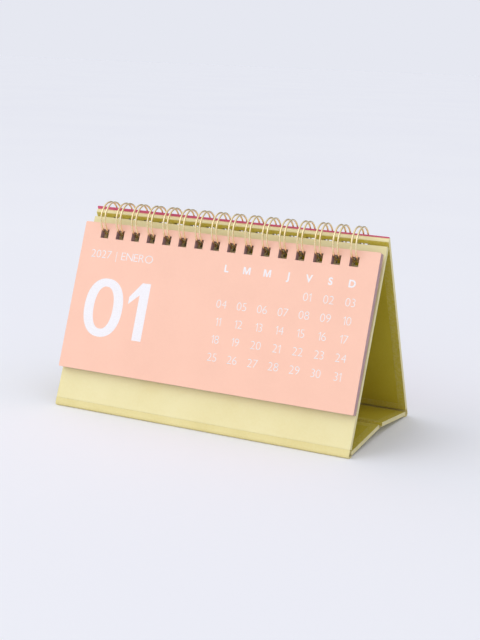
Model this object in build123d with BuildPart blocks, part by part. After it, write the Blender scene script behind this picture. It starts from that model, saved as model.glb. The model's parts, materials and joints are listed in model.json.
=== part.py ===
"""Desk calendar: a tent of four wrapped boards, a pad of month leaves and a twin-loop binding wire.

Millimetres, +Z up, +X to the viewer's right, -Y to the viewer. The origin is on the table, under the
middle of the footprint.
"""

import math
import os

import numpy as np
from build123d import *

os.makedirs("parts", exist_ok=True)

# Driving dimensions of the easel
width = 150.0
depth = 76.8  # over the rounded creases
front_slant = 93.5
front_tilt = 21.0
rear_rise = 0.3  # top of the rear panel above the foot of the ring axis on it
base_rise = 4.1  # underside of the middle crease above the table
foot_rise = 0.4  # underside of the base above the table at its outer corners
foot_inset = 0.6

# Board, paper and creases
paper = 0.2
board_thickness = 1.6
lining_margin = 3.5
edge_round = 1.2
crease_paper = 0.4
crease_end_gap = 0.6  # from a crease axis to the boards that turn about it
crease_nose = 1.2
middle_gap = 4.0
crease_clearance = 0.15  # crease paper to the boards it does not hold

# Binding wire
pitch = 8.467  # three to the inch
binding_margin = 6.0  # least length of panel beside the outermost loops
ring_radius = 7.7  # to the wire's centre line
wire = 0.85
leg_spacing = 2.2
spine_bend = 1.0
spine_angle = 18.4  # where the legs leave the spine, in degrees from straight down towards the viewer
tip_angle = 352.0
axis_drop = 0.9  # ring axis below the front panel's top edge
axis_out = 3.0  # ring axis in front of the front panel's outer face
rear_ring_gap = 1.0  # rear panel's outer face inside the wire's centre line
rear_axis_gap = ring_radius - rear_ring_gap

# Leaves
leaves = 12
leaf_height = 70.7
leaf_thickness = 0.2
leaf_pitch = 0.28
leaf_corner = 0.6
hole = 4.3
panel_hole = 4.8
hole_margin = 3.05  # leaf's top edge to the upper side of its holes
hang_clearance = 0.2
pad_axis_gap = 0.12  # ring axis to the back of the pad
pad_foot_gap = 0.6  # back of the pad to the front panel, at the pad's lower edge
title_gap = 0.17  # rear panel's outer face to the middle of the turned title leaf
title_axis_gap = rear_axis_gap + title_gap
title_rise = 1.3  # title leaf's top edge above the foot of the ring axis on it
title_skew = 0.35  # the turned title leaf hangs a little crooked, in degrees
title_side = -0.2  # and a little to the left

# Directions and places in the side view, as (y, z) pairs
panel = board_thickness + 2 * paper
loops = int((width - 2 * binding_margin) / pitch)


def direction(degrees):
    """Unit (y, z) pair, measured from straight up towards the rear."""
    a = math.radians(degrees)
    return Vector(0, math.sin(a), math.cos(a))


def crossing(p, d, q, e):
    """Where the line through p along d meets the line through q along e, in the side view."""
    k = ((q.Y - p.Y) * e.Z - (q.Z - p.Z) * e.Y) / (d.Y * e.Z - d.Z * e.Y)
    return p + d * k


# The outer faces would meet the table a little outside the rounded creases.
nose = crease_nose / math.tan(math.radians(90 - front_tilt) / 2) - crease_nose
front_foot = Vector(0, -depth / 2 - nose, 0)
rear_foot = Vector(0, depth / 2 + nose, 0)
front_up = direction(front_tilt)
front_out = direction(front_tilt - 90)
axis = front_foot + front_up * (front_slant - axis_drop) + front_out * axis_out

# The rear panel's outer face runs from the rear foot past the ring axis at its own distance.
to_axis = axis - rear_foot
rear_tilt = math.degrees(math.atan2(-to_axis.Y, to_axis.Z) - math.asin(rear_axis_gap / to_axis.length))
rear_up = direction(-rear_tilt)
rear_out = direction(90 - rear_tilt)
rear_slant = to_axis.dot(rear_up) + rear_rise

# Each half of the base runs from its outer corner to the raised middle crease.
middle = Vector(0, 0, base_rise)
front_corner = front_foot + Vector(0, foot_inset, foot_rise)
rear_corner = rear_foot + Vector(0, -foot_inset, foot_rise)
base_front_along = (middle - front_corner).normalized()
base_rear_along = (middle - rear_corner).normalized()
base_front_up = Vector(0, -base_front_along.Z, base_front_along.Y)
base_rear_up = Vector(0, base_rear_along.Z, -base_rear_along.Y)

# A crease turns about the inner corner between a panel and its half of the base.
front_crease_axis = crossing(
    front_foot - front_out * panel, front_up, front_corner + base_front_up * panel, base_front_along
)
rear_crease_axis = crossing(
    rear_foot - rear_out * panel, rear_up, rear_corner + base_rear_up * panel, base_rear_along
)


def panel_plane(origin, out, right):
    """Plane on a panel's outer face, with its Y up the panel and its Z outwards."""
    return Plane(origin=origin, x_dir=(right, 0, 0), z_dir=out)


front_start = (front_crease_axis - front_foot).dot(front_up) + crease_end_gap
rear_start = (rear_crease_axis - rear_foot).dot(rear_up) + crease_end_gap
front_plane = panel_plane(front_foot + front_up * front_start, front_out, 1)
rear_plane = panel_plane(rear_foot + rear_up * rear_start, rear_out, -1)
base_front_plane = panel_plane(
    front_crease_axis + base_front_along * crease_end_gap - base_front_up * panel, -base_front_up, -1
)
base_rear_plane = panel_plane(
    rear_crease_axis + base_rear_along * crease_end_gap - base_rear_up * panel, -base_rear_up, 1
)
front_length = front_slant - front_start
rear_length = rear_slant - rear_start
base_front_length = (middle - base_front_plane.origin).dot(base_front_along) - middle_gap / 2
base_rear_length = (middle - base_rear_plane.origin).dot(base_rear_along) - middle_gap / 2


def wire_band(near, far):
    """Upper and lower side of the wire between two distances from the ring axis, below the axis's foot."""
    upper = math.sqrt((ring_radius - wire / 2) ** 2 - far**2)
    lower = math.sqrt((ring_radius + wire / 2) ** 2 - near**2)
    return upper, lower


# The panels' holes are centred on the wire that slants through them.
front_holes_up = front_length - axis_drop - sum(wire_band(axis_out, axis_out + panel)) / 2
rear_holes_up = rear_length - rear_rise - sum(wire_band(rear_axis_gap - panel, rear_axis_gap)) / 2


def punch(plane, up, reach):
    """Cuts the row of square holes, at a height up the plane, this far to both sides of it."""
    with BuildSketch(plane) as row:
        with Locations((0, up)):
            with GridLocations(pitch, 0, loops, 1):
                Rectangle(panel_hole, panel_hole)
    extrude(row.sketch, amount=reach, both=True, mode=Mode.SUBTRACT)


def finish(builder, label):
    """Labels a sub-part and writes it."""
    builder.part.label = label
    export_step(builder.part, f"parts/{label}.step")


def wrapped_panel(name, plane, length, holes_up=None):
    """A greyboard with its cover paper, turned in round all four edges, and its lining sheet."""
    with BuildPart() as board:
        with BuildSketch(plane.offset(-paper)):
            with Locations((0, length / 2)):
                Rectangle(width - 2 * paper, length - 2 * paper)
        extrude(amount=-board_thickness)
        if holes_up is not None:
            inner_top = board.edges().filter_by(Axis.X).sort_by(Axis(plane.origin, plane.y_dir))[-2:]
            fillet(inner_top.sort_by(Axis(plane.origin, plane.z_dir))[0], edge_round - paper)
            punch(plane, holes_up, panel)
    finish(board, f"{name}_board")

    with BuildPart() as lining:
        with BuildSketch(plane.offset(-panel)):
            with Locations((0, length / 2)):
                Rectangle(width - 2 * lining_margin, length - 2 * lining_margin)
        extrude(amount=paper)
        if holes_up is not None:
            punch(plane, holes_up, 2 * panel)
    finish(lining, f"{name}_lining")

    with BuildPart() as cover_paper:
        with BuildSketch(plane):
            with Locations((0, length / 2)):
                Rectangle(width, length)
        extrude(amount=-panel)
        if holes_up is not None:
            inner_top = cover_paper.edges().filter_by(Axis.X).sort_by(Axis(plane.origin, plane.y_dir))[-2:]
            fillet(inner_top.sort_by(Axis(plane.origin, plane.z_dir))[0], edge_round)
            punch(plane, holes_up, 2 * panel)
        add(board.part, mode=Mode.SUBTRACT)
        add(lining.part, mode=Mode.SUBTRACT)
    finish(cover_paper, f"{name}_cover_paper")


wrapped_panel("front", front_plane, front_length, front_holes_up)
wrapped_panel("rear", rear_plane, rear_length, rear_holes_up)
wrapped_panel("base_front", base_front_plane, base_front_length)
wrapped_panel("base_rear", base_rear_plane, base_rear_length)


def foot_crease(name, foot, up, out, start, base_plane):
    """The doubled paper that turns under from a panel to its half of the base, flat on the table."""
    inward = 1 if foot.Y < 0 else -1
    top = foot + up * start
    end = base_plane.origin.Y - inward * crease_clearance
    section = Plane(origin=(-width / 2, 0, 0), x_dir=(0, 1, 0), z_dir=(1, 0, 0))
    with BuildPart() as crease:
        with BuildSketch(section):
            with BuildLine():
                outer = FilletPolyline(
                    (top.Y, top.Z), (foot.Y, foot.Z), (end, 0), radius=crease_nose
                )
                inner_top = top - out * crease_paper
                bend = crossing(inner_top, up, Vector(0, 0, crease_paper), Vector(0, 1, 0))
                inner = FilletPolyline(
                    (inner_top.Y, inner_top.Z),
                    (bend.Y, crease_paper),
                    (end, crease_paper),
                    radius=crease_nose - crease_paper,
                )
                Line(outer @ 0, inner @ 0)
                Line(outer @ 1, inner @ 1)
            make_face()
        extrude(amount=width)
    finish(crease, name)


foot_crease("front_crease", front_foot, front_up, front_out, front_start, base_front_plane)
foot_crease("rear_crease", rear_foot, rear_up, rear_out, rear_start, base_rear_plane)

# Middle crease: a shallow roof of doubled paper between the two halves of the base
reach = middle_gap / 2
with BuildPart() as middle_crease:
    with BuildSketch(Plane(origin=(-width / 2, 0, 0), x_dir=(0, 1, 0), z_dir=(1, 0, 0))):
        with BuildLine():
            front_end = middle - base_front_along * (reach - crease_clearance)
            rear_end = middle - base_rear_along * (reach - crease_clearance)
            ridge = crossing(
                front_end + base_front_up * crease_paper,
                base_front_along,
                rear_end + base_rear_up * crease_paper,
                base_rear_along,
            )
            corners = [
                front_end,
                middle,
                rear_end,
                rear_end + base_rear_up * crease_paper,
                ridge,
                front_end + base_front_up * crease_paper,
            ]
            Polyline(*[(c.Y, c.Z) for c in corners], close=True)
        make_face()
    extrude(amount=width)
finish(middle_crease, "middle_crease")


def ring_point(x, degrees):
    """Point on a leg's centre line from the ring axis, at an angle from straight down to the viewer."""
    a = math.radians(degrees)
    return Vector(x, -ring_radius * math.sin(a), -ring_radius * math.cos(a))


def ring_tangent(degrees):
    """Direction along the ring, towards growing angles."""
    a = math.radians(degrees)
    return Vector(0, -math.cos(a), math.sin(a))


def across_ring(degrees):
    """Plane square to the ring's line, with its X along the binding."""
    return Plane(origin=ring_point(0, degrees), x_dir=(1, 0, 0), z_dir=ring_tangent(degrees))


def turning(x, degrees, side):
    """Axis through the ring's line that points to the ring axis, or away from it where side is -1."""
    return Axis(ring_point(x, degrees), ring_point(0, degrees) * -side)


# Binding wire: one unbroken meander. Each loop goes up one leg, round its tip and back down the other,
# and the spine leads on to the next loop. The section is square, on its corner. A loop is made about the
# origin, and then set at the ring axis.
half_leg = leg_spacing / 2
half_run = pitch / 2 - half_leg - spine_bend
with BuildPart() as loop:
    with BuildSketch(across_ring(spine_angle)):
        with Locations((-half_leg, 0), (half_leg, 0)):
            RegularPolygon(wire / 2, 4)
    revolve(axis=Axis((0, 0, 0), (-1, 0, 0)), revolution_arc=tip_angle - spine_angle)
    with BuildSketch(across_ring(tip_angle)):
        with Locations((-half_leg, 0)):
            RegularPolygon(wire / 2, 4)
    revolve(axis=turning(0, tip_angle, 1), revolution_arc=180)
    for side in (-1, 1):
        with BuildSketch(across_ring(spine_angle)):
            with Locations((side * half_leg, 0)):
                RegularPolygon(wire / 2, 4)
        bend_axis = turning(side * (half_leg + spine_bend), spine_angle, -side)
        revolve(axis=bend_axis, revolution_arc=90)
        bend_middle = ring_point(side * (half_leg + spine_bend), spine_angle)
        on_spine = bend_middle - ring_tangent(spine_angle) * spine_bend
        with BuildSketch(Plane(origin=on_spine, x_dir=ring_tangent(spine_angle), z_dir=(side, 0, 0))):
            RegularPolygon(wire / 2, 4)
        extrude(amount=half_run)

with BuildPart() as binding_wire:
    with Locations(axis):
        with GridLocations(pitch, 0, loops, 1):
            add(loop.part)
finish(binding_wire, "binding_wire")


def pad_plane(distance):
    """Plane of a leaf in the pad: its origin is the foot of the ring axis, its Y points up the leaf."""
    leaf_reach = leaf_height - hole_margin + pad_hole_top
    lean = math.asin((axis_out + pad_axis_gap - pad_foot_gap) / leaf_reach)
    out = direction(front_tilt - math.degrees(lean) - 90)
    return Plane(origin=axis + out * distance, x_dir=(1, 0, 0), z_dir=out)


def leaf(name, plane, top):
    """A punched leaf centred on its plane, with its top edge at a height up that plane."""
    with BuildPart() as sheet:
        with BuildSketch(plane):
            with Locations((0, top - leaf_height / 2)):
                RectangleRounded(width, leaf_height, leaf_corner)
            with Locations((0, top - hole_margin - hole / 2)):
                with GridLocations(pitch, 0, loops, 1):
                    Rectangle(hole, hole, mode=Mode.SUBTRACT)
        extrude(amount=leaf_thickness / 2, both=True)
    finish(sheet, name)


# The leaves hang squared up on the wire: the front one's holes rest on it.
distances = [pad_axis_gap + leaf_thickness / 2 + k * leaf_pitch for k in range(leaves)]
pad_front = distances[-1] + leaf_thickness / 2
pad_hole_top = wire_band(pad_front - leaf_thickness, pad_front)[0] - hang_clearance
for k, distance in enumerate(distances):
    leaf(f"leaf_{leaves - k:02d}", pad_plane(distance), hole_margin - pad_hole_top)

# The title leaf is turned over the top and hangs behind the rear panel.
skew = math.radians(title_skew)
title_across = Vector(-math.cos(skew), 0, 0) + rear_up * math.sin(skew)
title_foot = axis + rear_out * title_axis_gap + Vector(title_side, 0, 0)
title_plane = Plane(origin=title_foot, x_dir=title_across, z_dir=rear_out)
leaf("title_leaf", title_plane, title_rise)

# Least gap of the wire to itself, on points along the centre lines of three neighbouring loops
angles = np.radians(np.linspace(spine_angle, tip_angle, 1200))
half_turn = np.radians(np.linspace(0, 180, 120))
quarter = np.radians(np.linspace(0, 90, 60))
run = np.linspace(0, half_run, 120)


def from_ring(x, along, degrees):
    """Points given across the binding and along the ring's line, as rows of x, y and z."""
    start = np.array(tuple(ring_point(0, degrees)))
    return start + np.outer(x, [1, 0, 0]) + np.outer(along, tuple(ring_tangent(degrees)))


around = np.column_stack([0 * angles, -np.sin(angles), -np.cos(angles)])
ring = ring_radius * around
corner_x = half_leg + spine_bend * (1 - np.cos(quarter))
right_side = np.vstack(
    [
        ring[::-1] + [half_leg, 0, 0],
        from_ring(corner_x, -spine_bend * np.sin(quarter), spine_angle),
        from_ring(half_leg + spine_bend + run, 0 * run - spine_bend, spine_angle),
    ]
)
left_side = right_side[::-1] * [-1, 1, 1]
tip = from_ring(-half_leg * np.cos(half_turn), half_leg * np.sin(half_turn), tip_angle)
one_loop = np.vstack([left_side, tip, right_side])
line = np.vstack([one_loop + [k * pitch, 0, 0] for k in (-1, 0, 1)])
travelled = np.concatenate([[0], np.cumsum(np.linalg.norm(np.diff(line, axis=0), axis=1))])
least = np.inf
for k, point in enumerate(line):
    later = line[travelled > travelled[k] + 4 * wire]
    if len(later):
        least = min(least, np.linalg.norm(later - point, axis=1).min())
solids = len(binding_wire.part.solids())
print(f"wire solids {solids}, volume {binding_wire.part.volume:.1f}")
print(f"wire's least gap to itself {least - wire:.3f}")
print("ring axis", tuple(axis))
print("front crease axis", tuple(front_crease_axis), "rear crease axis", tuple(rear_crease_axis))
print(f"rear tilt {rear_tilt:.2f}, rear slant {rear_slant:.2f}")
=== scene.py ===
"""Desk calendar: paper, ink and wire finishes, the print on the month leaves, the light and the camera."""

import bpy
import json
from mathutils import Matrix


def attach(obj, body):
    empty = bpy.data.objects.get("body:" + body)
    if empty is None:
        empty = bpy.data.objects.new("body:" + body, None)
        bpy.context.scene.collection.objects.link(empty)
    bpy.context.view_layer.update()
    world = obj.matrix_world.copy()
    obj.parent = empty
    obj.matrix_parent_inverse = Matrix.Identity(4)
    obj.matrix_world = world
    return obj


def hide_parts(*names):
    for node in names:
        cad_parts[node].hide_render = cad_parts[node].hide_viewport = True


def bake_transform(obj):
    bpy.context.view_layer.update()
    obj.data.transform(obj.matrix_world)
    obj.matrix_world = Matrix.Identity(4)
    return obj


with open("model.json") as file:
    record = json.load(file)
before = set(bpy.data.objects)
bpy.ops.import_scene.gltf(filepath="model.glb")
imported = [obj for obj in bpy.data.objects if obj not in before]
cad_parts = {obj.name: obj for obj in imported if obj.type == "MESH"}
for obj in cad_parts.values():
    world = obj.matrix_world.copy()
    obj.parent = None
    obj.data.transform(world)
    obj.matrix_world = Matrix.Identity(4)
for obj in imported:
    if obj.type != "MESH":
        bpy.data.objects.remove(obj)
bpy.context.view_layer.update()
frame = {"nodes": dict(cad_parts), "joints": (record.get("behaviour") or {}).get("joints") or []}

import calendar
import json
import math

import bpy
import numpy as np
from mathutils import Matrix, Vector

# Sizes in metres unless the name says otherwise
MM = 0.001
YEAR = 2027
LEAVES = 12
MONTHS = (
    "ENERO", "FEBRERO", "MARZO", "ABRIL", "MAYO", "JUNIO",
    "JULIO", "AGOSTO", "SEPTIEMBRE", "OCTUBRE", "NOVIEMBRE", "DICIEMBRE",
)
WEEKDAYS = "LMMJVSD"

# Binding wire, as in the part's source
WIRE = 0.85 * MM
RING_RADIUS = 7.7 * MM
LEG_SPACING = 2.2 * MM
SPINE_BEND = 1.0 * MM
SPINE_ANGLE = 18.4
TIP_ANGLE = 352.0
LOOP_PITCH = 8.467 * MM
LOOPS = 16

# Print on a leaf, in millimetres from the middle of its top edge: across, and down
INK_HEIGHT = 0.03 * MM
HEADING_PLACE = (-68.8, 16.9)
HEADING_CAP = 3.7
HEADING_WIDEN = 1.07
HEADING_WEIGHT = -0.016
WEEKDAY_ROW = 16.4
WEEKDAY_CAP = 3.3
WEEKDAY_WEIGHT = 0.03
FIRST_INITIAL = 3.6
FIRST_DATE = 4.2
COLUMN_STEP = 10.13
FIRST_ROW = 24.9
ROW_STEP = 8.12
DATE_CAP = 3.7
DATE_WEIGHT = -0.02
NUMBER_BASE = 53.6
NUMBER_CAP = 27.2
NUMBER_LEFT = -67.1
NUMBER_GAP = 2.5
NUMBER_WEIGHT = 0.025
NUMBER_WIDEN = 1.12
LETTER_GAP = 0.14
WORD_GAP = 0.53
CORNER_LIMIT = 0.8

# Crease papers, in millimetres: foot of the panel's outer face, its lean, length up it, end under the base
HALF_WIDTH = 75.0 * MM
CREASE_PAPER = 0.4
CREASE_NOSE = 1.2
FRONT_CREASE = (-38.946, 21.0, 4.213, -35.145)
REAR_CREASE = (38.946, 24.64, 4.468, 34.877)
MIDDLE_CREASE = (0.0, 4.1)
MIDDLE_REACH = 1.85
BASE_SLOPE = 5.51

# Middle of the tent, between its panels; faces that look to it get the cover's painted inner shade
TENT_MIDDLE = (0.0, 0.0, 0.045)

# Camera fitted to the photograph
VIEW_AZIMUTH = 25.98
VIEW_ELEVATION = 12.33
VIEW_ROLL = 2.05
VIEW_DISTANCE = 560.35 * MM
VIEW_TARGET = Vector((10.57, -16.45, 48.48)) * MM
FOCAL_PIXELS = 1232.28
PICTURE_HEIGHT = 640
SENSOR = 36.0


def srgb(red, green, blue):
    """A colour written as it looks on screen, from 0 to 255, as linear RGBA."""
    shown = np.array([red, green, blue]) / 255
    linear = np.where(shown <= 0.04045, shown / 12.92, ((shown + 0.055) / 1.055) ** 2.4)
    return (*linear.tolist(), 1.0)


def add_mesh(name, points, faces, smooth=False):
    """A mesh object at the origin from an array of points and an array, or list, of faces."""
    mesh = bpy.data.meshes.new(name)
    mesh.from_pydata(points.tolist(), [], [list(map(int, face)) for face in faces])
    mesh.polygons.foreach_set("use_smooth", [smooth] * len(mesh.polygons))
    mesh.update()
    piece = bpy.data.objects.new(name, mesh)
    bpy.context.scene.collection.objects.link(piece)
    return piece


def sheet_frame(node, facing):
    """Face of a flat node that looks along a direction: its outward and upward unit vectors, and the
    middle of its top edge. The outward vector is the normal of the largest such face, and the upward one
    is that turned a quarter about X."""
    mesh = frame["nodes"][node].data
    normals = np.empty(len(mesh.polygons) * 3)
    areas = np.empty(len(mesh.polygons))
    points = np.empty(len(mesh.vertices) * 3)
    mesh.polygons.foreach_get("normal", normals)
    mesh.polygons.foreach_get("area", areas)
    mesh.vertices.foreach_get("co", points)
    normals, points = normals.reshape(-1, 3), points.reshape(-1, 3)
    out = normals[np.argmax(areas * (normals @ np.array(facing) > 0.5))]
    up = np.array([0.0, out[2], -out[1]])
    return out, up, out * (points @ out).max() + up * (points @ up).max()


# Finishes


def new_finish(name):
    """A node material with an empty Principled shader; returns the material and its tree's parts."""
    finish = bpy.data.materials.new(name)
    finish.use_nodes = True
    tree = finish.node_tree
    return finish, tree.nodes, tree.links, tree.nodes["Principled BSDF"]


def object_noise(nodes, links, scale, detail=4.0, stretch=(1, 1, 1)):
    """Noise on object coordinates: scale in cycles a metre, stretched along the axes."""
    place = nodes.new("ShaderNodeTexCoord")
    mapping = nodes.new("ShaderNodeMapping")
    mapping.inputs["Scale"].default_value = stretch
    noise = nodes.new("ShaderNodeTexNoise")
    noise.inputs["Scale"].default_value = scale
    noise.inputs["Detail"].default_value = detail
    links.new(place.outputs["Object"], mapping.inputs["Vector"])
    links.new(mapping.outputs["Vector"], noise.inputs["Vector"])
    return noise.outputs["Fac"]


def between(nodes, links, factor, low, high):
    """A value from 0.3 to 0.7 spread from low to high."""
    spread = nodes.new("ShaderNodeMapRange")
    spread.inputs["From Min"].default_value = 0.3
    spread.inputs["From Max"].default_value = 0.7
    spread.inputs["To Min"].default_value = low
    spread.inputs["To Max"].default_value = high
    links.new(factor, spread.inputs["Value"])
    return spread.outputs["Result"]


def mix_colours(nodes, links, factor, first, second):
    """Two colours, or sockets of colours, mixed by a factor."""
    mix = nodes.new("ShaderNodeMix")
    mix.data_type = "RGBA"
    links.new(factor, mix.inputs["Factor"])
    for socket, colour in ((mix.inputs[6], first), (mix.inputs[7], second)):
        if isinstance(colour, tuple):
            socket.default_value = colour
        else:
            links.new(colour, socket)
    return mix.outputs[2]


def edge_share(nodes, links, radius):
    """How near a point is to an edge: one minus the product of the rounded and the true normal."""
    bevel = nodes.new("ShaderNodeBevel")
    bevel.samples = 6
    bevel.inputs["Radius"].default_value = radius
    true = nodes.new("ShaderNodeNewGeometry")
    product = nodes.new("ShaderNodeVectorMath")
    product.operation = "DOT_PRODUCT"
    links.new(bevel.outputs["Normal"], product.inputs[0])
    links.new(true.outputs["Normal"], product.inputs[1])
    share = nodes.new("ShaderNodeMapRange")
    share.inputs["From Min"].default_value = 1.0
    share.inputs["From Max"].default_value = 0.75
    links.new(product.outputs["Value"], share.inputs["Value"])
    return bevel.outputs["Normal"], share.outputs["Result"]


def inward_shade_share(nodes, links):
    """Mask of the painted shade inside the tent: one on faces that look to the middle of the tent and zero
    on the others: the sign of the product of the normal and the way to that middle."""
    place = nodes.new("ShaderNodeTexCoord")
    way = nodes.new("ShaderNodeVectorMath")
    way.operation = "SUBTRACT"
    way.inputs[0].default_value = TENT_MIDDLE
    links.new(place.outputs["Object"], way.inputs[1])
    product = nodes.new("ShaderNodeVectorMath")
    product.operation = "DOT_PRODUCT"
    links.new(way.outputs["Vector"], product.inputs[0])
    links.new(place.outputs["Normal"], product.inputs[1])
    share = nodes.new("ShaderNodeMath")
    share.operation = "GREATER_THAN"
    share.inputs[1].default_value = 0.0
    links.new(product.outputs["Value"], share.inputs[0])
    return share.outputs[0]


def paper_finish(name, tone, deep, worn, inner=None, roughness=(0.5, 0.66), grain=0.05, edge=0.35 * MM):
    """Dyed paper: cloudy colour between two tones, fine fibres that raise the surface and roughen it,
    and edges that are rounded and a little worn. An inner tone paints shade on faces that look into the
    tent."""
    finish, nodes, links, shader = new_finish(name)
    cloud = object_noise(nodes, links, 55, 5.0)
    fibre = object_noise(nodes, links, 2600, 3.0, (1.0, 0.35, 0.35))
    speck = object_noise(nodes, links, 900, 6.0)
    rounded, near_edge = edge_share(nodes, links, edge)
    clouded = mix_colours(nodes, links, between(nodes, links, cloud, 0.0, 1.0), tone, deep)
    # Painted shade: faces that look into the tent take the darker inner tone
    if inner:
        clouded = mix_colours(nodes, links, inward_shade_share(nodes, links), clouded, inner)
    flecked = mix_colours(nodes, links, between(nodes, links, speck, 0.0, 0.16), clouded, worn)
    wear = nodes.new("ShaderNodeMath")
    wear.operation = "MULTIPLY"
    links.new(near_edge, wear.inputs[0])
    links.new(between(nodes, links, speck, 0.05, 0.6), wear.inputs[1])
    links.new(mix_colours(nodes, links, wear.outputs[0], flecked, worn), shader.inputs["Base Color"])
    links.new(between(nodes, links, fibre, *roughness), shader.inputs["Roughness"])
    bump = nodes.new("ShaderNodeBump")
    bump.inputs["Strength"].default_value = grain
    bump.inputs["Distance"].default_value = 0.05 * MM
    links.new(fibre, bump.inputs["Height"])
    links.new(rounded, bump.inputs["Normal"])
    links.new(bump.outputs["Normal"], shader.inputs["Normal"])
    shader.inputs["Specular IOR Level"].default_value = 0.35
    return finish


def board_finish():
    """Greyboard: pressed waste paper with dark and pale flecks."""
    finish, nodes, links, shader = new_finish("greyboard_core")
    fleck = object_noise(nodes, links, 1400, 8.0)
    colour = mix_colours(
        nodes, links, between(nodes, links, fleck, 0, 1), srgb(120, 112, 98), srgb(176, 168, 150)
    )
    links.new(colour, shader.inputs["Base Color"])
    links.new(between(nodes, links, fleck, 0.8, 0.95), shader.inputs["Roughness"])
    bump = nodes.new("ShaderNodeBump")
    bump.inputs["Strength"].default_value = 0.3
    bump.inputs["Distance"].default_value = 0.1 * MM
    links.new(fleck, bump.inputs["Height"])
    links.new(bump.outputs["Normal"], shader.inputs["Normal"])
    return finish


def wire_finish():
    """Champagne-coated steel wire: metal with faint drawing marks and a cloudy coat."""
    finish, nodes, links, shader = new_finish("champagne_wire")
    cloud = object_noise(nodes, links, 240, 4.0)
    marks = object_noise(nodes, links, 3200, 2.0, (0.25, 1.0, 1.0))
    colour = mix_colours(
        nodes, links, between(nodes, links, cloud, 0, 1), srgb(248, 232, 190), srgb(238, 214, 164)
    )
    links.new(colour, shader.inputs["Base Color"])
    shader.inputs["Metallic"].default_value = 1.0
    links.new(between(nodes, links, marks, 0.16, 0.28), shader.inputs["Roughness"])
    bump = nodes.new("ShaderNodeBump")
    bump.inputs["Strength"].default_value = 0.08
    bump.inputs["Distance"].default_value = 0.02 * MM
    links.new(marks, bump.inputs["Height"])
    links.new(bump.outputs["Normal"], shader.inputs["Normal"])
    return finish


def ink_finish():
    """Opaque white ink, slightly uneven where the paper's fibres show through."""
    finish, nodes, links, shader = new_finish("white_ink")
    fibre = object_noise(nodes, links, 2400, 4.0)
    colour = mix_colours(
        nodes, links, between(nodes, links, fibre, 0, 1), srgb(246, 244, 246), srgb(238, 233, 234)
    )
    links.new(colour, shader.inputs["Base Color"])
    links.new(between(nodes, links, fibre, 0.42, 0.55), shader.inputs["Roughness"])
    return finish


def set_finish(piece, finish):
    """Gives a whole object one finish."""
    piece.data.materials.clear()
    piece.data.materials.append(finish)


# Binding wire


def ring_direction(degrees):
    """Unit vectors away from the ring axis, at angles from straight down towards the viewer."""
    a = np.radians(degrees)
    return np.stack([0 * a, -np.sin(a), -np.cos(a)], axis=-1)


def ring_tangent(degrees):
    """Unit vectors along the ring, towards growing angles."""
    a = np.radians(degrees)
    return np.stack([0 * a, -np.cos(a), np.sin(a)], axis=-1)


def loop_line(axis):
    """Centre line of one loop and its outward vectors. From the spine the line turns a quarter into a leg,
    goes round the ring axis as an arc, turns half round at the tip and comes back as the mirror image."""
    half_leg = LEG_SPACING / 2
    run = np.linspace(LOOP_PITCH / 2, half_leg + SPINE_BEND, 5)[:-1]
    quarter = np.radians(np.linspace(90, 0, 9))[:-1]
    leg = np.linspace(SPINE_ANGLE, TIP_ANGLE, 90)
    turn = np.radians(np.linspace(0, 90, 11))[1:]
    spine_out, tip_out = ring_direction(SPINE_ANGLE), ring_direction(TIP_ANGLE)
    spine_along, tip_along = ring_tangent(SPINE_ANGLE), ring_tangent(TIP_ANGLE)
    left = np.array([-1.0, 0.0, 0.0])
    at_spine, at_tip = RING_RADIUS * spine_out, RING_RADIUS * tip_out
    corner_x = half_leg + SPINE_BEND * (1 - np.cos(quarter))
    points = np.vstack([
        at_spine + np.outer(run, left) - spine_along * SPINE_BEND,
        at_spine + np.outer(corner_x, left) - np.outer(np.sin(quarter), spine_along) * SPINE_BEND,
        RING_RADIUS * ring_direction(leg) + left * half_leg,
        at_tip + np.outer(np.cos(turn), left) * half_leg + np.outer(np.sin(turn), tip_along) * half_leg,
    ])
    outward = np.vstack([
        np.tile(spine_out, (len(run) + len(quarter), 1)),
        ring_direction(leg),
        np.tile(tip_out, (len(turn), 1)),
    ])
    mirror = np.array([-1.0, 1.0, 1.0])
    whole = np.vstack([points, points[-2::-1] * mirror]) + axis
    return whole, np.vstack([outward, outward[-2::-1]])


def tube(points, outward, radius, sides):
    """A round tube: each point of a line carries a circle in the plane of its outward vector and of the
    vector square to that and to the line. Both ends are closed by a fan."""
    along = np.gradient(points, axis=0)
    along /= np.linalg.norm(along, axis=1, keepdims=True)
    across = np.cross(along, outward)
    across /= np.linalg.norm(across, axis=1, keepdims=True)
    normal = np.cross(across, along)
    angle = np.linspace(0, 2 * np.pi, sides, endpoint=False)
    circle = np.cos(angle)[None, :, None] * normal[:, None] + np.sin(angle)[None, :, None] * across[:, None]
    skin = (points[:, None] + radius * circle).reshape(-1, 3)
    row, side = np.meshgrid(np.arange(len(points) - 1), np.arange(sides), indexing="ij")
    after = (side + 1) % sides
    here, there = row * sides, (row + 1) * sides
    quads = np.stack([here + side, here + after, there + after, there + side], axis=-1).reshape(-1, 4)
    first = np.arange(sides)
    last = first + (len(points) - 1) * sides
    start, end = len(skin), len(skin) + 1
    fans = np.concatenate([
        np.stack([np.roll(first, -1), first, 0 * first + start], axis=-1),
        np.stack([last, np.roll(last, -1), 0 * last + end], axis=-1),
    ])
    return np.vstack([skin, points[0], points[-1]]), quads.tolist() + fans.tolist()


def make_binding_wire(axis):
    """The twin-loop wire as one round tube through all its loops."""
    line, outward = loop_line(axis)
    places = (np.arange(LOOPS) - (LOOPS - 1) / 2) * LOOP_PITCH
    shift = np.array([1.0, 0.0, 0.0])
    whole = np.vstack([line[:-1] + shift * x for x in places] + [line[-1:] + shift * places[-1]])
    facing = np.vstack([outward[:-1]] * LOOPS + [outward[-1:]])
    points, faces = tube(whole, facing, WIRE / 2, 14)
    piece = add_mesh("binding_wire_round", points, faces, smooth=True)
    set_finish(piece, wire_finish())
    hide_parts("binding_wire")
    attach(piece, "easel_front")


# Crease papers


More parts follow.
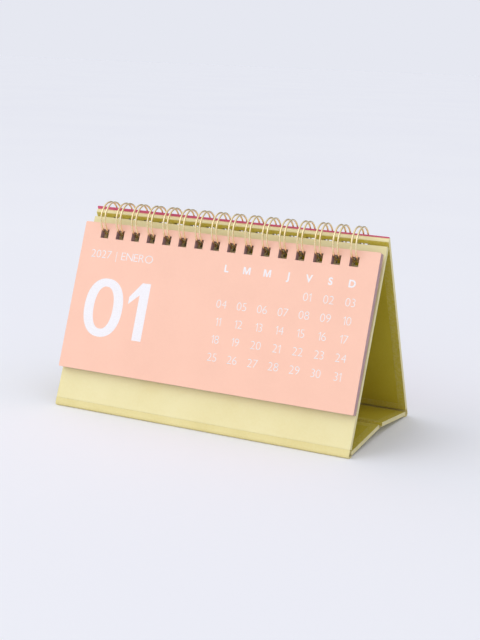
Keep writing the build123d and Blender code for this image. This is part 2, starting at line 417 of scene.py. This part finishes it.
def crease_strip(name, section, finish):
    """A closed strip with a side-view section of (y, z) points in millimetres, carried along X. The section
    runs there along one face and back along the other, so each cross strip joins two points of it."""
    count = len(section)
    half = count // 2
    flat = np.asarray(section) * MM
    points = np.vstack([np.insert(flat, 0, x, axis=1) for x in (-HALF_WIDTH, HALF_WIDTH)])
    index = np.arange(count)
    after = (index + 1) % count
    sides = np.stack([index, index + count, after + count, after], axis=-1)
    there = np.arange(half - 1)
    back = count - 1 - there
    ends = np.stack([there, there + 1, back - 1, back], axis=-1)
    faces = np.vstack([sides, ends, ends[:, ::-1] + count])
    if (flat[:, 0] * flat[after, 1] - flat[after, 0] * flat[:, 1]).sum() > 0:
        faces = faces[:, ::-1]
    strip = add_mesh(name, points, faces)
    set_finish(strip, finish)
    return strip


def foot_crease(name, node, shape, finish):
    """Paper that turns under from a panel to its half of the base: a straight down the panel, an arc round
    the nose and a straight on the table, with the inner face a paper's thickness inside."""
    foot, lean, length, end = shape
    side = -np.sign(foot)
    tilt = np.radians(lean)
    tangent = CREASE_NOSE / np.tan((np.pi / 2 - tilt) / 2)
    middle = np.array([foot + side * tangent, CREASE_NOSE])
    up = np.array([side * np.sin(tilt), np.cos(tilt)])
    outward = np.array([-side * np.cos(tilt), np.sin(tilt)])
    straight = np.array([foot, 0.0]) + np.outer(np.linspace(length, tangent, 5)[:-1], up)
    angle = np.linspace(tilt, -np.pi / 2, 15)
    arc_out = np.stack([-side * np.cos(angle), np.sin(angle)], axis=-1)
    under = np.stack([np.linspace(middle[0], end, 15)[1:], np.zeros(14)], axis=-1)
    outer = np.vstack([straight, middle + CREASE_NOSE * arc_out, under])
    inner = np.vstack([
        straight - CREASE_PAPER * outward,
        middle + (CREASE_NOSE - CREASE_PAPER) * arc_out,
        under + [0.0, CREASE_PAPER],
    ])
    strip = crease_strip(name, np.vstack([outer, inner[::-1]]), finish)
    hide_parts(node)
    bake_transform(strip)


def middle_crease_half(name, base, side, finish):
    """Half of the paper between the two halves of the base: a flat strip up to the ridge, where it ends in
    a round nose of its own thickness about the ridge line, which covers the ridge as the base folds."""
    slope = np.radians(BASE_SLOPE)
    along = np.array([-side * np.cos(slope), np.sin(slope)])
    above = np.array([side * np.sin(slope), np.cos(slope)])
    ridge = np.array(MIDDLE_CREASE)
    edge = ridge - along * MIDDLE_REACH
    angle = np.linspace(np.pi / 2 - slope, 0.0, 9)
    nose = np.stack([-side * np.cos(angle), np.sin(angle)], axis=-1)
    low = edge + np.outer(np.linspace(0, 1, 10), ridge - edge)
    high = np.vstack([edge + above * CREASE_PAPER, ridge + CREASE_PAPER * nose])
    strip = crease_strip(name, np.vstack([low, high[::-1]]), finish)
    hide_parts("middle_crease")
    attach(strip, base)


def make_creases():
    """The paper at the three creases of the easel."""
    finish = paper_finish("creased_cover", srgb(233, 219, 156), srgb(225, 209, 140), srgb(244, 236, 190))
    foot_crease("front_crease_paper", "front_crease", FRONT_CREASE, finish)
    foot_crease("rear_crease_paper", "rear_crease", REAR_CREASE, finish)
    middle_crease_half("middle_crease_front", "base_front", -1, finish)
    middle_crease_half("middle_crease_rear", "base_rear", 1, finish)


# Print


def fan(corners):
    """Triangles of a convex polygon, given by the numbers of its corners."""
    corners = np.asarray(corners)
    return np.stack([np.full(len(corners) - 2, corners[0]), corners[1:-1], corners[2:]], axis=-1)


def slab(outline, caps):
    """A closed slab of unit thickness: walls along an outline of (across, up) points, and above and below
    it convex caps, given by the numbers of their corners."""
    count = len(outline)
    index = np.arange(count)
    after = (index + 1) % count
    points = np.vstack([np.insert(outline, 2, height, axis=1) for height in (1.0, 0.0)])
    cap = np.vstack([fan(corners) for corners in caps])
    walls = [
        np.stack([index, index + count, after + count], axis=-1),
        np.stack([index, after + count, after], axis=-1),
    ]
    return points, np.vstack([cap, cap[:, ::-1] + count, *walls])


def ring_slab(outer, inner):
    """A closed ring of unit thickness between two outlines of as many points: four strips, over the top,
    down the inside, under the bottom and up the outside."""
    count = len(outer)
    index = np.arange(count)
    after = (index + 1) % count
    lines = ((outer, 1.0), (inner, 1.0), (inner, 0.0), (outer, 0.0))
    points = np.vstack([np.insert(line, 2, height, axis=1) for line, height in lines])
    strips = []
    for strip in range(4):
        a, b = strip * count, (strip + 1) % 4 * count
        strips.append(np.stack([a + index, a + after, b + after], axis=-1))
        strips.append(np.stack([a + index, b + after, b + index], axis=-1))
    return points, np.vstack(strips)


def oval(half_width, half_height, power=2.25, count=96):
    """Closed superellipse: cosine and sine raised to 2 over the power, with their signs kept."""
    a = np.linspace(0, 2 * np.pi, count, endpoint=False)
    c, s = np.cos(a), np.sin(a)
    return np.stack([
        half_width * np.sign(c) * np.abs(c) ** (2 / power),
        half_height * np.sign(s) * np.abs(s) ** (2 / power),
    ], axis=-1)


def figure_one(width, stroke, tip, drop, corner):
    """The figure 1, one unit tall: a stem with a flag that slants from its top to a cut tip at the left.
    The tip's height, its cut and the height of the inner corner are given."""
    outline = np.array([
        [width - stroke, 0.0], [width, 0.0], [width, 1.0], [width - 0.9 * stroke, 1.0],
        [0.0, tip], [0.0, tip - drop], [width - stroke, corner],
    ])
    return slab(outline, [(0, 1, 2, 3, 6), (3, 4, 5, 6)])


def bold_m(width, stroke):
    """The bold letter M, one unit tall: two stems, and between them a V that reaches down to the foot."""
    middle, foot, shoulder = width / 2, stroke / 2, 1.35 * stroke
    outline = np.array([
        [0.0, 0.0], [stroke, 0.0], [stroke, 0.72], [middle - foot, 0.0], [middle + foot, 0.0],
        [width - stroke, 0.72], [width - stroke, 0.0], [width, 0.0], [width, 1.0],
        [width - shoulder, 1.0], [middle, 0.3], [shoulder, 1.0], [0.0, 1.0],
    ])
    left = [(0, 1, 2, 12), (12, 2, 11), (2, 3, 10, 11)]
    right = [(4, 5, 9, 10), (5, 8, 9), (5, 6, 7, 8)]
    return slab(outline, [*left, (3, 4, 10), *right])


letter_store = {
    ("1", DATE_WEIGHT): figure_one(0.27, 0.075, 0.80, 0.08, 0.885),
    ("M", WEEKDAY_WEIGHT): bold_m(1.08, 0.2),
}


def letter(character, weight):
    """A built-in letter as a slab one unit tall that starts at zero: its points and its triangles. To make
    it heavier or lighter its walls move along their normals, and a corner moves along the sum of two."""
    if (character, weight) not in letter_store:
        curve = bpy.data.curves.new("letter", "FONT")
        curve.body = character
        curve.extrude = 0.5
        curve.resolution_u = 6
        holder = bpy.data.objects.new("letter", curve)
        mesh = bpy.data.meshes.new_from_object(holder)
        mesh.calc_loop_triangles()
        points = np.empty(len(mesh.vertices) * 3)
        triangles = np.empty(len(mesh.loop_triangles) * 3, dtype=np.int32)
        mesh.vertices.foreach_get("co", points)
        mesh.loop_triangles.foreach_get("vertices", triangles)
        walls = [(list(face.vertices), face.normal[:]) for face in mesh.polygons if abs(face.normal.z) < 0.5]
        bpy.data.objects.remove(holder)
        bpy.data.curves.remove(curve)
        bpy.data.meshes.remove(mesh)
        points, joined = np.unique(points.reshape(-1, 3).round(6), axis=0, return_inverse=True)
        joined = joined.ravel()
        push = np.zeros_like(points)
        for corners, normal in walls:
            push[joined[corners]] += normal
        points += 2 * weight * push / np.maximum((push ** 2).sum(axis=1, keepdims=True), CORNER_LIMIT)
        low, high = points.min(axis=0), points.max(axis=0)
        points = (points - [low[0], 0, low[2]]) / [high[1], high[1], 1.0]
        letter_store[character, weight] = points, joined[triangles].reshape(-1, 3)
    return letter_store[character, weight]


def word(text, cap, weight, place, anchor=0.5, widen=1.0):
    """Letters in a row with an even gap, as slabs scaled to a cap height and widened: across, up and
    thickness. The anchor tells which share of the row's length lies left of the place."""
    cursor, parts = 0.0, []
    for character in text:
        if character == " ":
            cursor += WORD_GAP
            continue
        points, triangles = letter(character, weight)
        parts.append((points + [cursor, 0, 0], triangles))
        cursor += points[:, 0].max() + LETTER_GAP
    cursor -= LETTER_GAP
    stretch = np.array([cap * widen, cap, 1.0])
    start = np.array([place[0] - anchor * cursor * stretch[0], -place[1], 0.0])
    return [(points * stretch + start, triangles) for points, triangles in parts]


def big_figure(character):
    """A bold figure of the month's number, one unit tall and standing on zero."""
    if character == "0":
        middle = np.array([0.382, 0.49])
        return ring_slab(oval(0.382, 0.513) + middle, oval(0.193, 0.371) + middle)
    if character == "1":
        return figure_one(0.378, 0.181, 0.735, 0.125, 0.785)
    points, triangles = letter(character, NUMBER_WEIGHT)
    return points * [NUMBER_WIDEN, 1.0, 1.0], triangles


def month_number(number):
    """The month's large two-figure number, set from its left edge."""
    left, parts = NUMBER_LEFT, []
    scale = np.array([NUMBER_CAP, NUMBER_CAP, 1.0])
    for character in f"{number:02d}":
        points, triangles = big_figure(character)
        parts.append((points * scale + [left, -NUMBER_BASE, 0.0], triangles))
        left += points[:, 0].max() * NUMBER_CAP + NUMBER_GAP
    return parts


def date_grid(number):
    """The weekday initials and the dates of a month, in seven columns."""
    parts = []
    for column, initial in enumerate(WEEKDAYS):
        place = (FIRST_INITIAL + column * COLUMN_STEP, WEEKDAY_ROW)
        parts += word(initial, WEEKDAY_CAP, WEEKDAY_WEIGHT, place)
    first_column, days = calendar.monthrange(YEAR, number)
    for day in range(1, days + 1):
        row, column = divmod(first_column + day - 1, 7)
        place = (FIRST_DATE + column * COLUMN_STEP, FIRST_ROW + row * ROW_STEP)
        parts += word(f"{day:02d}", DATE_CAP, DATE_WEIGHT, place)
    return parts


def print_leaf(number, ink):
    """The print of one month, as a thin layer of ink on the face of its leaf."""
    node = f"leaf_{number:02d}"
    out, up, origin = sheet_frame(node, (0, -1, 0))
    heading = f"{YEAR} | {MONTHS[number - 1]}"
    parts = word(heading, HEADING_CAP, HEADING_WEIGHT, HEADING_PLACE, anchor=0.0, widen=HEADING_WIDEN)
    parts += date_grid(number) + month_number(number)
    counts = np.cumsum([0] + [len(points) for points, _ in parts])
    flat = np.vstack([points for points, _ in parts])
    triangles = np.vstack([corners + start for (_, corners), start in zip(parts, counts)])
    points = (
        origin
        + np.outer(flat[:, 0] * MM, [1, 0, 0])
        + np.outer(flat[:, 1] * MM, up)
        + np.outer(flat[:, 2] * INK_HEIGHT, out)
    )
    piece = add_mesh(f"{node}_print", points, triangles)
    set_finish(piece, ink)
    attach(piece, node)


# Stage


def make_stage():
    """A wide pale floor just under the feet."""
    half, low = 12.0, -0.05 * MM
    corners = np.array([[-half, -half, low], [half, -half, low], [half, half, low], [-half, half, low]])
    floor = add_mesh("floor", corners, [(0, 1, 2, 3)])
    finish, nodes, links, shader = new_finish("pale_floor")
    cloud = object_noise(nodes, links, 3, 2.0)
    colour = mix_colours(
        nodes, links, between(nodes, links, cloud, 0, 1), srgb(243, 243, 246), srgb(241, 241, 245)
    )
    links.new(colour, shader.inputs["Base Color"])
    shader.inputs["Roughness"].default_value = 0.9
    shader.inputs["Specular IOR Level"].default_value = 0.0
    set_finish(floor, finish)


def add_lamp(name, place, aim, size, watts, colour):
    """A square soft lamp at a place, turned to a point."""
    lamp = bpy.data.lights.new(name, "AREA")
    lamp.size = size
    lamp.energy = watts
    lamp.color = colour
    holder = bpy.data.objects.new(name, lamp)
    holder.location = place
    holder.rotation_euler = (Vector(aim) - Vector(place)).to_track_quat("-Z", "Y").to_euler()
    bpy.context.scene.collection.objects.link(holder)


def make_light():
    """A soft lamp from the upper left front, and a pale room that is brighter on that side and fades evenly
    to the side away from it. Seen directly, the room is one plain pale colour."""
    add_lamp("key", (-0.75, -0.85, 1.0), (0.0, 0.0, 0.04), 0.7, 1.6, (1.0, 0.985, 0.965))
    world = bpy.data.worlds.new("pale_room")
    world.use_nodes = True
    nodes, links = world.node_tree.nodes, world.node_tree.links
    room = nodes["Background"]
    room.inputs["Color"].default_value = srgb(245, 247, 253)
    towards = nodes.new("ShaderNodeVectorMath")
    towards.operation = "DOT_PRODUCT"
    towards.inputs[1].default_value = (-0.5, -0.6, 0.62)
    level = nodes.new("ShaderNodeMapRange")
    level.inputs["From Min"].default_value = -1.0
    level.inputs["To Min"].default_value = 0.02
    level.inputs["To Max"].default_value = 1.38
    links.new(nodes.new("ShaderNodeTexCoord").outputs["Generated"], towards.inputs[0])
    links.new(towards.outputs["Value"], level.inputs["Value"])
    links.new(level.outputs["Result"], room.inputs["Strength"])
    seen = nodes.new("ShaderNodeBackground")
    seen.inputs["Color"].default_value = srgb(230, 232, 241)
    path = nodes.new("ShaderNodeLightPath")
    choice = nodes.new("ShaderNodeMixShader")
    links.new(path.outputs["Is Camera Ray"], choice.inputs[0])
    links.new(room.outputs[0], choice.inputs[1])
    links.new(seen.outputs[0], choice.inputs[2])
    links.new(choice.outputs[0], nodes["World Output"].inputs["Surface"])
    bpy.context.scene.world = world


def make_camera():
    """The photograph's view: azimuth, height and roll about the target, with the fitted focal length."""
    a, e, r = map(math.radians, (VIEW_AZIMUTH, VIEW_ELEVATION, VIEW_ROLL))
    back = Vector((math.sin(a) * math.cos(e), -math.cos(a) * math.cos(e), math.sin(e)))
    level = (-back).cross(Vector((0, 0, 1))).normalized()
    above = level.cross(-back)
    right = level * math.cos(r) + above * math.sin(r)
    up = above * math.cos(r) - level * math.sin(r)
    lens = bpy.data.cameras.new("camera")
    lens.sensor_width = SENSOR
    lens.lens = FOCAL_PIXELS * SENSOR / PICTURE_HEIGHT
    lens.clip_start = 0.01
    holder = bpy.data.objects.new("camera", lens)
    turn = Matrix((right, up, back)).transposed().to_4x4()
    holder.matrix_world = Matrix.Translation(VIEW_TARGET + back * VIEW_DISTANCE) @ turn
    bpy.context.scene.collection.objects.link(holder)
    bpy.context.scene.camera = holder


def finish_nodes():
    """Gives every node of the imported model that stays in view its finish."""
    # The cover's inner tone is painted shade, darker and more olive, on its faces inside the tent
    cover = paper_finish(
        "yellow_green_cover_with_painted_inner_shade", srgb(239, 228, 174), srgb(234, 221, 162), srgb(246, 239, 200),
        inner=srgb(199, 181, 52),
    )
    # The lining is yellow-green paper; its deep olive tones are painted shade of the tent's inside
    lining = paper_finish("yellow_green_lining_with_painted_shade", srgb(201, 183, 54), srgb(193, 174, 42), srgb(214, 198, 88))
    board = board_finish()
    title = paper_finish("pink_title_leaf", srgb(222, 98, 134), srgb(214, 88, 126), srgb(236, 140, 166))
    for name, node in frame["nodes"].items():
        if name.endswith("_board"):
            set_finish(node, board)
        elif name.endswith("_cover_paper"):
            set_finish(node, cover)
        elif name.endswith("_lining"):
            set_finish(node, lining)
    set_finish(frame["nodes"]["title_leaf"], title)
    tints = [
        (252, 201, 177), (206, 158, 160), (190, 160, 168), (216, 176, 172), (184, 158, 162), (206, 166, 160),
        (188, 152, 158), (214, 178, 170), (194, 164, 168), (200, 158, 160), (186, 162, 164), (210, 172, 170),
    ]
    for number, tint in enumerate(tints, start=1):
        tone = np.array(tint)
        sheet = paper_finish(
            f"leaf_paper_{number:02d}", srgb(*tone), srgb(*(tone - 4)), srgb(*np.minimum(tone + 10, 255)),
            roughness=(0.48, 0.6), grain=0.035, edge=0.06 * MM,
        )
        set_finish(frame["nodes"][f"leaf_{number:02d}"], sheet)


ring_axis = np.array(next(j for j in frame["joints"] if j["name"] == "easel_fold")["pos_m"])
make_camera()
finish_nodes()
make_creases()
make_binding_wire(ring_axis)
white_ink = ink_finish()
for month in range(1, LEAVES + 1):
    print_leaf(month, white_ink)
make_stage()
make_light()
bpy.context.scene.view_settings.view_transform = "Standard"
